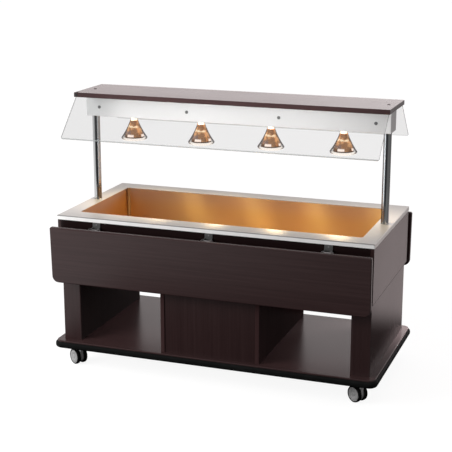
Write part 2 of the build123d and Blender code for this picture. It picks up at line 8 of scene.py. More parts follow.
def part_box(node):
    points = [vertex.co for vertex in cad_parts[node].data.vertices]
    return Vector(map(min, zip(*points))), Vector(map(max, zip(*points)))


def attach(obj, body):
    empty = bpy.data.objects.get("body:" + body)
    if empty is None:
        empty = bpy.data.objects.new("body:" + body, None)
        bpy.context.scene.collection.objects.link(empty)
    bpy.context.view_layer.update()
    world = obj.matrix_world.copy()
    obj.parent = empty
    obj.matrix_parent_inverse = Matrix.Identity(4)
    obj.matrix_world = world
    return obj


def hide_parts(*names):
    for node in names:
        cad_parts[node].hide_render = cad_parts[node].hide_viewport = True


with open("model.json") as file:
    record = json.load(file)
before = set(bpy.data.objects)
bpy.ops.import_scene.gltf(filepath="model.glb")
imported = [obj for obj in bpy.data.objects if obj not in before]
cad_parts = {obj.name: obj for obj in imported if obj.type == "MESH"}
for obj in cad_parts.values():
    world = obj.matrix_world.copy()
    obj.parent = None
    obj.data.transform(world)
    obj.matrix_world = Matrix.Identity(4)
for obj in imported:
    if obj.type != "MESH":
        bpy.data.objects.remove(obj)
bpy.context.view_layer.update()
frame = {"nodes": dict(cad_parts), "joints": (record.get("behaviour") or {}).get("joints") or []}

scene = bpy.context.scene
nodes = frame["nodes"]
jointAt = {shadowLine["name"]: shadowLine for shadowLine in frame["joints"]}


def placed(name, data):  # a new object in the scene
    thing = bpy.data.objects.new(name, data)
    scene.collection.objects.link(thing)
    return thing


class Wire:  # one node output; sums on it add Math nodes
    def __init__(self, net, socket):
        self.net = net
        self.socket = socket

    def maths(self, operation, first, second):
        return self.net.add("ShaderNodeMath", {"operation": operation}, {0: first, 1: second})

    def __add__(self, other):
        return self.maths("ADD", self, other)

    def __radd__(self, other):
        return self.maths("ADD", other, self)

    def __sub__(self, other):
        return self.maths("SUBTRACT", self, other)

    def __rsub__(self, other):
        return self.maths("SUBTRACT", other, self)

    def __mul__(self, other):
        return self.maths("MULTIPLY", self, other)

    def __rmul__(self, other):
        return self.maths("MULTIPLY", other, self)

    def __truediv__(self, other):
        return self.maths("DIVIDE", self, other)

    def __rtruediv__(self, other):
        return self.maths("DIVIDE", other, self)

    def __abs__(self):
        return self.maths("ABSOLUTE", self, 0.0)

    def orMore(self, other):
        return self.maths("MAXIMUM", self, other)


class Net:  # the node tree of one finish, or of the studio's surroundings
    def __init__(self, owner):
        self.owner = owner
        owner.use_nodes = True
        self.tree = owner.node_tree
        self.tree.nodes.clear()

    def add(self, kind, settings=None, values=None, out=0):
        node = self.tree.nodes.new(kind)
        for key, value in (settings or {}).items():
            if key == "stops":
                self.setStops(node.color_ramp, value)
            else:
                setattr(node, key, value)
        for key, value in (values or {}).items():
            if isinstance(value, Wire):
                self.tree.links.new(value.socket, node.inputs[key])
            else:
                node.inputs[key].default_value = value
        return Wire(self, node.outputs[out]) if len(node.outputs) else node

    def setStops(self, ramp, stops):
        while len(ramp.elements) < len(stops):
            ramp.elements.new(0.5)
        for element, (at, colour) in zip(ramp.elements, stops):
            element.position = at
            element.color = (*colour, 1.0)

    def ramp(self, factor, stops):
        return self.add("ShaderNodeValToRGB", {"stops": stops}, {0: factor})

    def mix(self, factor, first, second):
        return self.add("ShaderNodeMix", {"data_type": "RGBA"}, {0: factor, 6: first, 7: second}, 2)

    def spread(self, value, low, high, newLow=0.0, newHigh=1.0):  # a soft step from one range to another
        return self.add("ShaderNodeMapRange", {"interpolation_type": "SMOOTHSTEP"},
                        {0: value, 1: low, 2: high, 3: newLow, 4: newHigh})

    def space(self, stretch=(1, 1, 1), shift=(0, 0, 0)):
        place = self.add("ShaderNodeTexCoord", out=3)
        return self.add("ShaderNodeMapping", None, {0: place, 1: shift, 3: stretch})

    def axes(self, out=3):
        place = self.add("ShaderNodeTexCoord", out=out)
        return [self.add("ShaderNodeSeparateXYZ", None, {0: place}, k) for k in range(3)]

    def noise(self, stretch, detail=3.0, rough=0.5, twist=0.0, shift=(0, 0, 0)):
        if isinstance(stretch, float):  # the same along all three axes
            stretch = (stretch,) * 3
        where = self.space(stretch, shift)
        return self.add("ShaderNodeTexNoise", None,
                        {"Vector": where, "Scale": 1.0, "Detail": detail, "Roughness": rough, "Distortion": twist})

    def bump(self, height, strength, depth):
        return self.add("ShaderNodeBump", None, {"Strength": strength, "Distance": depth, "Height": height})

    def skin(self, sockets):
        shader = self.add("ShaderNodeBsdfPrincipled", None, sockets)
        self.add("ShaderNodeOutputMaterial", None, {0: shader})
        return self.owner


def finishNet(name):
    return Net(bpy.data.materials.new(name))


def rgb(red, green, blue):
    return (red, green, blue, 1.0)


def drawn(along, lengthwise, across):  # a pattern's stretch when it runs along one axis
    return [lengthwise if axis == along else across for axis in range(3)]


wood = {
    "dark": (0.0270, 0.0140, 0.0140), "mid": (0.0360, 0.0188, 0.0190), "light": (0.0460, 0.0255, 0.0255),
    "toneAt": (0.30, 0.50, 0.72), "streakShare": 0.65,
    "streaks": (1.4, 95.0), "bands": (0.7, 9.0), "pores": (11.0, 420.0), "pitsFrom": (0.56, 0.70), "pitShade": 0.45,
    "rough": 0.20, "roughSwing": 0.08, "pitRough": 0.06, "jointRough": 0.6, "specular": 0.40,
    "poreDepth": 0.00001, "poreRelief": 0.10,
    "seamHalf": (0.0008, 0.0022), "seamShade": 0.15, "insideFade": 0.004,
    "sheen": 0.05, "sheenRough": 0.35, "sheenTint": (1.0, 0.55, 0.55),
}


# dark brown print with its fine grain along one axis; shade scales the print for painted light and shade, giving lit
# and shaded copies
def laminate(name, along, shade=1.0, gloss=1.0, relief=0.4, shadowLineAt=None, dullInside=None, density=1.5):
    net = finishNet(name)
    streaks = net.noise(drawn(along, *wood["streaks"]), 5.0, 0.62, 0.25)
    bands = net.noise(drawn(along, *wood["bands"]), 3.0, 0.5, 0.6, (3.1, 1.7, 0.4))
    pits = net.spread(net.noise(drawn(along, *wood["pores"]), 2.0, 0.5), *wood["pitsFrom"])
    smear = net.noise(2.3, 4.0, 0.55)
    tones = [[part * shade for part in wood[tone]] for tone in ("dark", "mid", "light")]
    dark, share = tones[0], wood["streakShare"]
    grain = net.ramp(streaks * share + bands * (1 - share), list(zip(wood["toneAt"], tones)))
    colour = net.mix(pits * wood["pitShade"], grain, rgb(*dark))
    x, y, z = net.axes()
    rough = wood["rough"] + smear * wood["roughSwing"] + pits * (wood["pitRough"] * relief)
    if shadowLineAt:  # painted shade: a dark shadow line where two panels meet, at one height
        shadowLine = 1 - net.spread(abs(z - shadowLineAt), *wood["seamHalf"])
        colour = net.mix(shadowLine, colour, rgb(*[part * wood["seamShade"] for part in dark]))
        rough = rough + shadowLine * wood["jointRough"]
    if dullInside:  # the faces towards the middle are matt
        inside = 1 - net.spread(abs(x), dullInside, dullInside + wood["insideFade"])
        rough = rough + inside * wood["jointRough"]
    return net.skin({
        "Base Color": colour,
        "IOR": density,
        "Roughness": rough,
        "Specular IOR Level": wood["specular"] * gloss,
        "Sheen Weight": wood["sheen"],
        "Sheen Roughness": wood["sheenRough"],
        "Sheen Tint": rgb(*wood["sheenTint"]),
        "Normal": net.bump(streaks * 0.5 - pits, wood["poreRelief"] * relief, wood["poreDepth"]),
    })


brushing = {
    "lines": (2.2, 900.0), "cloud": 3.4, "cloudRough": 0.05, "turn": 0.25, "score": 0.18, "depth": 0.00006,
    "skirtFaces": (0.6, 0.9), "skirtMatt": 0.7, "foldFaces": (0.2, 0.5), "foldShare": 0.85,
    "cornerFaces": (0.03, 0.20), "shadedCornerShare": 0.7, "cornerRough": 0.3, "endFaces": (0.5, 0.9),
}


def brushedSteel(name, look):
    net = finishNet(name)
    lines = net.noise(drawn(look["along"], *brushing["lines"]), 3.0, 0.6)
    cloud = net.noise(brushing["cloud"], 4.0, 0.6, 0.4)
    x, y, z = net.axes()
    outX, outY, outZ = net.axes(1)
    colour = net.mix(lines * 0.5 + cloud * 0.5, rgb(*look["dull"]), rgb(*look["tint"]))
    metal = look["metal"]
    rough = look["rough"] + lines * look["brush"] + cloud * brushing["cloudRough"]
    if "skirt" in look:  # painted light and shade: the turned-down edge is painted brighter and less metallic, with a painted dark shade line under its fold
        skirt = net.spread(abs(outY), *brushing["skirtFaces"])
        fold = net.spread(z, *look["foldFrom"]) * net.spread(abs(outY), *brushing["foldFaces"])
        colour = net.mix(skirt, colour, rgb(*look["skirt"]))
        colour = net.mix(fold * brushing["foldShare"], colour, rgb(*look["foldShade"]))
        metal = (1 - skirt * brushing["skirtMatt"]) * look["metal"]
    if "shadedCorner" in look:  # painted light: a deeper gold low down; painted shade, rougher too, in the upright corners
        shadedCorner = net.spread(abs(outX * outY), *brushing["cornerFaces"])
        colour = net.mix(net.spread(z, *look["deepFrom"]), colour, rgb(*look["deep"]))
        colour = net.mix(shadedCorner * brushing["shadedCornerShare"], colour, rgb(*look["shadedCorner"]))
        rough = rough + shadedCorner * brushing["cornerRough"]
    if "endShade" in look:  # painted shade: darker at its left end and on its right end face
        endShading = net.spread(x, *look["leftEnd"]).orMore(net.spread(outX, *brushing["endFaces"]))
        colour = net.mix(endShading, colour, rgb(*look["endShade"]))
    return net.skin({
        "Base Color": colour,
        "Metallic": metal,
        "Roughness": rough,
        "Anisotropic": look.get("stretch", 0.0),
        "Anisotropic Rotation": brushing["turn"],
        "Normal": net.bump(lines, look.get("score", brushing["score"]), brushing["depth"]),
    })


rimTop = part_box("top_rim")[1].z
rimSteel = {
    "along": 0, "tint": (0.70, 0.695, 0.67), "dull": (0.63, 0.625, 0.60), "metal": 0.55, "rough": 0.34, "brush": 0.08,
    "stretch": 0.8, "skirt": (0.95, 0.95, 0.94), "foldShade": (0.20, 0.20, 0.20),
    "foldFrom": (rimTop - 0.0042, rimTop - 0.0032),
}
boxSteel = {
    "along": 0, "tint": (0.92, 0.92, 0.92), "dull": (0.88, 0.88, 0.88), "metal": 0.32, "rough": 0.30, "brush": 0.14,
    "endShade": (0.66, 0.67, 0.67), "leftEnd": (-0.52, -0.65),
}
# painted light: the well's golden tint stands in for the lamps' warm light inside it
wellSteel = {
    "along": 0, "tint": (0.74, 0.50, 0.345), "dull": (0.66, 0.445, 0.30), "metal": 1.0, "rough": 0.37, "brush": 0.06,
    "score": 0.05, "stretch": 0.95, "shadedCorner": (0.48, 0.29, 0.15), "deep": (0.75, 0.485, 0.25), "deepFrom": (0.725, 0.635),
}
plainSteel = {
    "along": 2, "tint": (0.52, 0.52, 0.52), "dull": (0.40, 0.40, 0.41), "metal": 0.9, "rough": 0.30, "brush": 0.15,
}
boltSteel = {
    "along": 2, "tint": (0.26, 0.26, 0.26), "dull": (0.20, 0.20, 0.20), "metal": 0.6, "rough": 0.35, "brush": 0.10,
}
hingeSteel = {
    "along": 2, "tint": (0.30, 0.30, 0.30), "dull": (0.22, 0.22, 0.22), "metal": 0.85, "rough": 0.32, "brush": 0.12,
}
chrome = {
    "tint": (0.66, 0.665, 0.67), "dull": (0.58, 0.585, 0.59), "rough": 0.03, "haze": 0.05,
    "shaded": (0.17, 0.185, 0.20), "shadeLeft": (0.0, 0.15), "shadeRight": (-0.32, -0.20),
    "paleReflection": (0.66, 0.72, 0.77), "paleLeft": (0.50, 0.68), "paleRight": [(0.16, 0.26), (0.50, 0.62)],
    "paleHeight": (0.78, 0.85), "paleFoot": 0.25, "paleMatt": 0.85,
}


def polishedChrome(name):  # painted reflections: pale and dark stripes are painted on the two posts, for the different parts of the room each one mirrors
    net = finishNet(name)
    haze = net.noise((40.0, 40.0, 6.0), 4.0, 0.6)
    x, y, z = net.axes()
    outX, outY, outZ = net.axes(1)
    low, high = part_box("post_right")
    inward = x * outX / (-(low.x + high.x) / 2)  # 1 on the side towards the well
    left = net.spread(x, 0.1, -0.1)
    stripFrom, stripTo = chrome["paleRight"]
    reflectedStrip = net.spread(inward, *stripFrom) * (1 - net.spread(inward, *stripTo))
    paleReflection = net.spread(inward, *chrome["paleLeft"]) * left + reflectedStrip * (1 - left)
    paleReflection = paleReflection * net.spread(z, *chrome["paleHeight"], chrome["paleFoot"], 1.0)
    # painted dark reflections and shade down the posts
    shade = net.spread(inward, *chrome["shadeLeft"]) * left + net.spread(inward, *chrome["shadeRight"]) * (1 - left)
    polish = net.mix(haze, rgb(*chrome["dull"]), rgb(*chrome["tint"]))
    polish = net.mix(shade * (1 - paleReflection), polish, rgb(*chrome["shaded"]))
    return net.skin({
        "Base Color": net.mix(paleReflection, polish, rgb(*chrome["paleReflection"])),
        "Metallic": 1 - paleReflection * chrome["paleMatt"],
        "Roughness": chrome["rough"] + haze * chrome["haze"],
    })


def mouldedPlastic(name, low, high, rough):
    net = finishNet(name)
    tooth = net.noise(700.0, 2.0, 0.5)
    cloud = net.noise(18.0, 3.0, 0.5)
    return net.skin({
        "Base Color": net.mix(cloud, rgb(*low), rgb(*high)),
        "Roughness": rough - 0.06 + cloud * 0.12,
        "Normal": net.bump(tooth, 0.25, 0.00008),
    })


def blackRubber(name, low, high, rough):
    net = finishNet(name)
    tooth = net.noise(520.0, 3.0, 0.6)
    dust = net.noise(6.0, 5.0, 0.65, 0.5)
    return net.skin({
        "Base Color": net.mix(net.spread(dust, 0.45, 0.75), rgb(*low), rgb(*high)),
        "Roughness": rough + dust * 0.15,
        "Specular IOR Level": 0.08,
        "Normal": net.bump(tooth, 0.3, 0.0001),
    })


guard = {
    "tint": (0.05, 0.052, 0.052), "edge": (0.28, 0.30, 0.30), "veil": 0.10, "graze": 0.04, "rough": 0.03,
    "edgeVeil": 0.60, "rearFoot": 0.3, "footFrom": (0.0095, 0.0080), "sideFrom": (0.0016, 0.0004),
}


def guardGlass(name):  # clear sheet, greyer on its cut edges
    net = finishNet(name)
    low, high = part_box("glass_front")
    x, y, z = net.axes()
    down = abs(y) - z  # grows down the slope of either sheet
    deepest = abs(low.y) - low.z
    foot = net.spread(down, *[deepest - short for short in guard["footFrom"]])
    foot = foot * net.spread(y, 0.0, 0.1, 1.0, guard["rearFoot"])
    rim = foot.orMore(net.spread(abs(x), *[high.x - short for short in guard["sideFrom"]]))
    facing = net.add("ShaderNodeLayerWeight", None, {0: 0.35}, 0)
    smear = net.noise(5.0, 4.0, 0.6)
    return net.skin({
        "Base Color": net.mix(rim, rgb(*guard["tint"]), rgb(*guard["edge"])),
        "Roughness": guard["rough"] + smear * 0.03,
        "Alpha": (guard["veil"] + facing * guard["graze"]).orMore(rim * guard["edgeVeil"]),
        "IOR": 1.5,
    })


heater = {"low": (0.30, 0.085, 0.03), "high": (0.42, 0.14, 0.05), "ribs": 14.0, "rough": 0.5}


def heaterMat(name):
    net = finishNet(name)
    ribs = net.add("ShaderNodeTexWave", {"wave_type": "BANDS", "bands_direction": "Y"},
                   {"Vector": net.space(), "Scale": heater["ribs"], "Distortion": 0.0})
    fleck = net.noise(160.0, 3.0, 0.6)
    return net.skin({
        "Base Color": net.mix(fleck, rgb(*heater["low"]), rgb(*heater["high"])),
        "Roughness": heater["rough"] + fleck * 0.2,
        "Normal": net.bump(ribs, 0.4, 0.0008),
    })


finishes = {
    "woodX": laminate("laminateLengthwise", 0),
    "woodY": laminate("laminateCrosswise", 1, shadowLineAt=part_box("body_end_right")[0].z),
    "woodZ": laminate("laminateUpright", 2),
    # painted light and shade: the same print is painted darker on the legs under the leaf, on the carcass panels in the
    # gap under the rim and on the recessed cabinet front, and lighter on the cabinet sides and the base
    "legWoodShaded": laminate("laminateLegShaded", 2, 0.88, dullInside=abs(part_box("leg_left")[1].x) + 0.003),
    "carcassShaded": laminate("laminateCarcassShaded", 0, 0.30, 0.5),
    "cabinetSideLit": laminate("laminateCabinetSideLit", 2, 1.2, 0.4, 0.0, density=1.06),
    "cabinetFrontShaded": laminate("laminateCabinetFrontShaded", 2, 0.8, 0.6),
    "baseTopLit": laminate("laminateBaseLit", 0, 1.05, 1.0, 0.0),
    "rimSteel": brushedSteel("rimSteel", rimSteel),
    "boxSteel": brushedSteel("boxSteel", boxSteel),
    "wellSteel": brushedSteel("wellSteel", wellSteel),
    "plainSteel": brushedSteel("bracketSteel", plainSteel),
    "hingeSteel": brushedSteel("hingeSteel", hingeSteel),
    "boltSteel": brushedSteel("boltSteel", boltSteel),
    "chrome": polishedChrome("postChrome"),
    # painted light: the front castor housings are light grey plastic, painted lighter still so that they stay bright in
    # the shade under the base
    "castorGreyLit": mouldedPlastic("castorGreyLit", (0.72, 0.72, 0.72), (0.80, 0.80, 0.80), 0.42),
    "hoodGrey": mouldedPlastic("hoodGrey", (0.060, 0.062, 0.062), (0.095, 0.096, 0.096), 0.45),
    "discGrey": mouldedPlastic("discGrey", (0.40, 0.40, 0.40), (0.48, 0.48, 0.48), 0.40),
    "controlBlack": mouldedPlastic("controlBlack", (0.010, 0.010, 0.010), (0.022, 0.022, 0.022), 0.45),
    "rockerBlack": mouldedPlastic("rockerBlack", (0.012, 0.012, 0.012), (0.02, 0.02, 0.02), 0.25),
    "markWhite": mouldedPlastic("markWhite", (0.62, 0.62, 0.60), (0.72, 0.72, 0.70), 0.45),
    "ivory": mouldedPlastic("holderIvory", (0.60, 0.56, 0.48), (0.70, 0.66, 0.58), 0.35),
    "bumper": blackRubber("bumperRubber", (0.0065, 0.0070, 0.0069), (0.0115, 0.0122, 0.0120), 0.50),
    "tread": blackRubber("treadRubber", (0.007, 0.007, 0.007), (0.015, 0.015, 0.015), 0.5),
    "glass": guardGlass("guardGlass"),
    "heater": heaterMat("heaterMat"),
}
dressing = {
    "woodX": ["top_board", "leaf_front", "leaf_rear", "post_bolts"],
    "carcassShaded": ["body_floor", "body_front", "body_rear"],
    "woodY": ["body_end_left", "body_end_right"],
    "woodZ": ["cabinet_rear"],
    "legWoodShaded": ["leg_left", "leg_right"],
    "cabinetSideLit": ["cabinet_side_left", "cabinet_side_right"],
    "cabinetFrontShaded": ["cabinet_front"],
    "baseTopLit": ["base_panel"],
    "rimSteel": ["top_rim"],
    "boxSteel": ["lamp_box"],
    "wellSteel": ["well_tub"],
    "plainSteel": ["box_brackets", "leaf_pins_front", "leaf_pins_rear", "glass_clamps", "castor_plates",
                   "post_sockets"],
    "hingeSteel": ["hinge_brackets", "leaf_forks_front", "leaf_forks_rear"],
    "boltSteel": ["box_bolts"],
    "chrome": ["post_left", "post_right"],
    "heater": ["heating_pads"],
    "glass": ["glass_front", "glass_rear"],
    "ivory": ["lampholders"],
    "bumper": ["base_bumper"],
    "castorGreyLit": ["castor_housing_front_left", "castor_housing_front_right"],
    "hoodGrey": ["castor_housing_rear_left", "castor_housing_rear_right"],
    "controlBlack": ["thermostat_knob", "thermostat", "switch_frames", "cable_gland", "brake_pedal_rear_left",
                     "brake_pedal_rear_right"],
    "rockerBlack": ["heat_switch", "lamp_switch"],
}
for finish, names in dressing.items():
    for name in names:
        mesh = nodes[name].data
        mesh.materials.clear()
        mesh.materials.append(finishes[finish])
print("finishes on", sum(len(names) for names in dressing.values()), "nodes")


def piece(name, mesh, body, finish):
    thing = placed(name, mesh)
    mesh.materials.append(finish)
    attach(thing, body)
    return thing


def settled(name, build):  # the mesh from what was built
    mesh = bpy.data.meshes.new(name)
    build.to_mesh(mesh)
    build.free()
    return mesh


# (radius, height) pairs turned about Z; ripple(angle, height) scales the radius
def lathe(name, profile, turns, ripple=None):
    build = bmesh.new()
    rings = []
    for radius, height in profile:
        if radius == 0:
            rings.append([build.verts.new((0, 0, height))])
            continue
        ring = []
        for k in range(turns):
            angle = 2 * math.pi * k / turns
            reach = radius * (ripple(angle, height) if ripple else 1.0)
            ring.append(build.verts.new((reach * math.cos(angle), reach * math.sin(angle), height)))
        rings.append(ring)
    for lower, upper in zip(rings, rings[1:]):
        for k in range(turns):
            after = (k + 1) % turns
            if len(lower) == 1:
                build.faces.new((lower[0], upper[after], upper[k]))
            elif len(upper) == 1:
                build.faces.new((lower[k], lower[after], upper[0]))
            else:
                build.faces.new((lower[k], lower[after], upper[after], upper[k]))
    bmesh.ops.recalc_face_normals(build, faces=build.faces)
    mesh = settled(name, build)
    mesh.shade_smooth()
    return mesh


def bow(start, middle, end, steps):  # points on the arc through three (radius, height) pairs
    (ax, ay), (bx, by), (cx, cy) = start, middle, end
    cross = 2 * (ax * (by - cy) + bx * (cy - ay) + cx * (ay - by))
    aa, bb, cc = ax * ax + ay * ay, bx * bx + by * by, cx * cx + cy * cy
    ox = (aa * (by - cy) + bb * (cy - ay) + cc * (ay - by)) / cross
    oy = (aa * (cx - bx) + bb * (ax - cx) + cc * (bx - ax)) / cross
    radius = math.hypot(ax - ox, ay - oy)
    first, last = math.atan2(ay - oy, ax - ox), math.atan2(cy - oy, cx - ox)
    sweep = (last - first + math.pi) % (2 * math.pi) - math.pi
    angles = [first + sweep * k / steps for k in range(steps + 1)]
    return [(ox + radius * math.cos(angle), oy + radius * math.sin(angle)) for angle in angles]


lamp = {
    "baseLength": 0.028, "baseRadius": 0.013, "neck": 0.017, "neckDrop": 0.014, "waist": 0.0365, "waistDrop": 0.0585,
    "flare": 0.082, "radius": 0.060, "rim": 0.010, "rimMid": (0.12, 0.55), "dome": 0.006, "lensMid": (0.45, 0.8),
    "bellSteps": 24, "rimSteps": 6, "lensSteps": 8, "turns": 64, "facets": 16, "facetDepth": 0.012,
    "cone": [(0.0165, -0.0175), (0.0172, -0.0190), (0.0208, -0.0300), (0.0252, -0.0410), (0.0262, -0.0445)],
    "bell": [(0.0290, -0.0470), (0.0312, -0.0510), (0.0345, -0.0590), (0.0385, -0.0700), (0.0415, -0.0800),
             (0.0438, -0.0880), (0.0450, -0.0925), (0.0462, -0.0960)],
    "face": [(0.0405, -0.0890), (0.0300, -0.0905), (0.0, -0.0910)],
    "collar": [(0.0, 0.0), (0.0152, 0.0), (0.0160, -0.0015), (0.0160, -0.0150), (0.0152, -0.0175), (0.0, -0.0175)],
    "glow": 8.0, "glowTones": [(1.0, 0.60, 0.26), (1.0, 0.80, 0.52)],
    "neckGlow": 1.1, "neckTones": [(1.0, 0.84, 0.66), (1.0, 0.95, 0.86)],
}
mirror = {
    "copper": (0.86, 0.50, 0.26), "dull": (0.62, 0.31, 0.14), "edge": (0.05, 0.022, 0.014), "roomReflection": (0.40, 0.34, 0.36),
    "glint": (1.0, 0.93, 0.88),
    "leak": [(0.0, (0.06, 0.028, 0.014)), (0.45, (0.62, 0.33, 0.15)), (1.0, (1.0, 0.86, 0.60))],
    "hemFrom": (-0.0895, -0.0925), "glintFrom": (-0.0775, -0.0835), "coolFrom": (-0.058, -0.070),
    "leakFade": (-0.094, -0.055), "leakLow": 0.35, "leakPatch": 0.5, "leakCrease": 1.4, "creaseHalf": (0.001, 0.006),
    "glintOn": (-0.32, -0.16), "glintOff": (0.24, 0.36), "coolOn": (-0.08, 0.10), "darkOn": (0.32, 0.38),
    "darkShare": 0.85, "coolShare": 0.75, "coolLeak": 0.8,
}
bulb = {
    "clear": (0.42, 0.36, 0.30), "outline": (0.035, 0.022, 0.018), "veil": 0.04, "lensVeil": 0.5,
    "lens": (1.0, 0.90, 0.76), "lensFrom": (-0.1005, -0.1065), "edgeTint": (0.2, 0.6), "edgeFrom": (0.30, 0.66),
    "edgeVeil": 0.90,
}


def copperMirror(name):
    net = finishNet(name)
    dapple = net.noise(60.0, 3.0, 0.6)
    patch = net.spread(net.noise((44.0, 44.0, 30.0), 2.0, 0.5), 0.44, 0.60)
    x, y, z = net.axes()
    outX, outY, outZ = net.axes(1)
    quarter = outX * outY  # painted reflections: on the flanks a painted image of the lit lens, and beside it a painted reflection of the room
    hem = net.spread(z, *mirror["hemFrom"])  # the dark rolled edge
    # the glow is partly the lamp's own light through the coating and partly painted highlights: bright patches and a
    # bright ring along the crease
    crease = 1 - net.spread(abs(z - lamp["cone"][-1][1]), *mirror["creaseHalf"])
    leak = patch * mirror["leakPatch"] + crease * patch * mirror["leakCrease"]
    leak = leak * net.spread(z, *mirror["leakFade"], mirror["leakLow"], 1.0) * (1 - hem)
    low = net.spread(z, *mirror["glintFrom"])
    glint = net.spread(quarter, *mirror["glintOn"]) * (1 - net.spread(quarter, *mirror["glintOff"]))
    glint = glint * low * (1 - hem)
    # painted shade: the dark hem is carried up beside the painted lens image
    hem = hem.orMore(net.spread(quarter, *mirror["darkOn"]) * low * mirror["darkShare"])
    roomReflection = net.spread(quarter, *mirror["coolOn"]) * net.spread(z, *mirror["coolFrom"]) * (1 - glint) * (1 - hem)
    copper = net.mix(dapple, rgb(*mirror["dull"]), rgb(*mirror["copper"]))
    copper = net.mix(roomReflection * mirror["coolShare"], copper, rgb(*mirror["roomReflection"]))
    shine = net.ramp(leak * (1 - roomReflection * mirror["coolLeak"]), mirror["leak"])
    return net.skin({
        "Base Color": net.mix(hem, copper, rgb(*mirror["edge"])),
        "Metallic": 1.0,
        "Roughness": 0.12 + dapple * 0.16,
        "Normal": net.bump(dapple, 0.3, 0.0008),
        "Emission Color": net.mix(glint, shine, rgb(*mirror["glint"])),
        "Emission Strength": 1.0,
    })


def bulbGlass(name):
    net = finishNet(name)
    facing = net.add("ShaderNodeLayerWeight", None, {0: 0.45}, 1)
    smear = net.noise(90.0, 3.0, 0.6)
    x, y, z = net.axes()
    lens = net.spread(z, *bulb["lensFrom"])  # the frosted front, lit from within
    edge = net.spread(facing, *bulb["edgeFrom"]) * bulb["edgeVeil"] * (1 - lens)
    return net.skin({
        "Base Color": net.mix(net.spread(facing, *bulb["edgeTint"]), rgb(*bulb["clear"]), rgb(*bulb["outline"])),
        "Roughness": 0.02 + smear * 0.05,
        "Alpha": (bulb["veil"] + edge).orMore(lens * bulb["lensVeil"]),
        "Specular IOR Level": 0.15,
        "Emission Color": net.mix(lens, rgb(0.0, 0.0, 0.0), rgb(*bulb["lens"])),
        "Emission Strength": 1.0,
    })


def bulbGlow(name, tones, strength):
    net = finishNet(name)
    heat = net.noise(70.0, 2.0, 0.5)
    colour = net.mix(heat, *[rgb(*tone) for tone in tones])
    return net.skin({
        "Base Color": colour,
        "Roughness": 0.3 + heat * 0.1,
        "Emission Color": colour,
        "Emission Strength": strength,
    })


def bulbOutline():  # the clear envelope: screw base, neck, bell, rolled rim and lens
    radius, rimDeep, dome = lamp["radius"], lamp["rim"], lamp["dome"]
    base = [(0, lamp["baseLength"]), (lamp["baseRadius"], lamp["baseLength"]), (lamp["baseRadius"], 0.0),
            (lamp["neck"], 0.0)]
    neckEnd = (lamp["neck"], -lamp["neckDrop"])
    rimStart = (radius, -lamp["neckDrop"] - lamp["flare"])
    rimEnd = (radius - rimDeep / 2, rimStart[1] - rimDeep)
    tip = rimEnd[1] - dome
    rimIn, rimDown = lamp["rimMid"]  # each arc's middle point, as shares of its size
    lensOut, lensDown = lamp["lensMid"]
    bell = bow(neckEnd, (lamp["waist"], -lamp["waistDrop"]), rimStart, lamp["bellSteps"])
    rim = bow(rimStart, (radius - rimDeep * rimIn, rimStart[1] - rimDeep * rimDown), rimEnd, lamp["rimSteps"])
    lens = bow(rimEnd, (radius * lensOut, rimEnd[1] - dome * lensDown), (0.0, tip), lamp["lensSteps"])
    return base + bell + rim[1:] + lens[1:-1] + [(0, tip)]


def facet(angle, height):  # the lower tier of the reflector is faceted
    return 1.0 + (lamp["facetDepth"] * math.cos(angle * lamp["facets"]) if height < lamp["cone"][-1][1] else 0.0)


copper, bulbShell = copperMirror("copperMirror"), bulbGlass("bulbGlass")
glow = bulbGlow("bulbGlow", lamp["glowTones"], lamp["glow"])
neckGlow = bulbGlow("neckGlow", lamp["neckTones"], lamp["neckGlow"])
for number in range(1, 5):
    low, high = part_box(f"lamp_{number}")
    axis = Vector(((low.x + high.x) / 2, (low.y + high.y) / 2, high.z - lamp["baseLength"]))
    parts = {
        "lampEnvelope": (bulbOutline(), None, bulbShell),
        "lampReflector": (lamp["cone"] + lamp["bell"], facet, copper),
        "lampCollar": (lamp["collar"], None, neckGlow),
        "lampGlow": (lamp["face"], None, glow),
    }
    for kind, (outline, ripple, finish) in parts.items():
        mesh = lathe(f"{kind}{number}", outline, lamp["turns"], ripple)
        thing = piece(f"{kind}{number}", mesh, "trolley", finish)
        thing.location = axis
        if kind == "lampEnvelope":
            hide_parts(f"lamp_{number}")
print("lamps dressed")


def standing(at, out):  # a place with its Z along a direction
    return Matrix.Translation(Vector(at)) @ Vector(out).to_track_quat("Z", "Y").to_matrix().to_4x4()


def tipped(degrees, axis):
    return Matrix.Rotation(math.radians(degrees), 4, axis)


wheel = {
    "inner": 0.008, "turns": 72,
    "tread": [(0.0306, 0.0006), (0.0348, 0.0006), (0.0362, 0.0020), (0.0371, 0.0042), (0.0374, 0.0075),
              (0.0375, 0.0095), (0.0374, 0.0115), (0.0371, 0.0148), (0.0362, 0.0170), (0.0348, 0.0184),
              (0.0326, 0.0190), (0.0309, 0.0184), (0.0306, 0.0160)],
    "disc": [(0.0, 0.0004), (0.0042, 0.0004), (0.0296, 0.0002), (0.0305, 0.0010), (0.0305, 0.0174), (0.0298, 0.0182),
             (0.0290, 0.0178), (0.0284, 0.0168), (0.0277, 0.0168), (0.0268, 0.0183), (0.0240, 0.0192), (0.0185, 0.0195),
             (0.0125, 0.0190), (0.0117, 0.0181), (0.0106, 0.0181), (0.0097, 0.0193), (0.0062, 0.0200), (0.0, 0.0202)],
}
for name in [n for n in nodes if n.startswith("wheel_")]:
    spin = jointAt[f"{name}_roll"]
    axle = Vector(spin["axis"]).normalized() * (1.0 if name.endswith("outer") else -1.0)
    place = standing(spin["pos_m"], axle)
    for kind, finish in (("tread", "tread"), ("disc", "discGrey")):
        mesh = lathe(f"{name}.{kind}", [(r, h + wheel["inner"]) for r, h in wheel[kind]], wheel["turns"])
        mesh.transform(place)
        thing = piece(f"{name}.{kind}", mesh, name, finishes[finish])
        if kind == "tread":
            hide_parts(name)
print("wheels dressed")


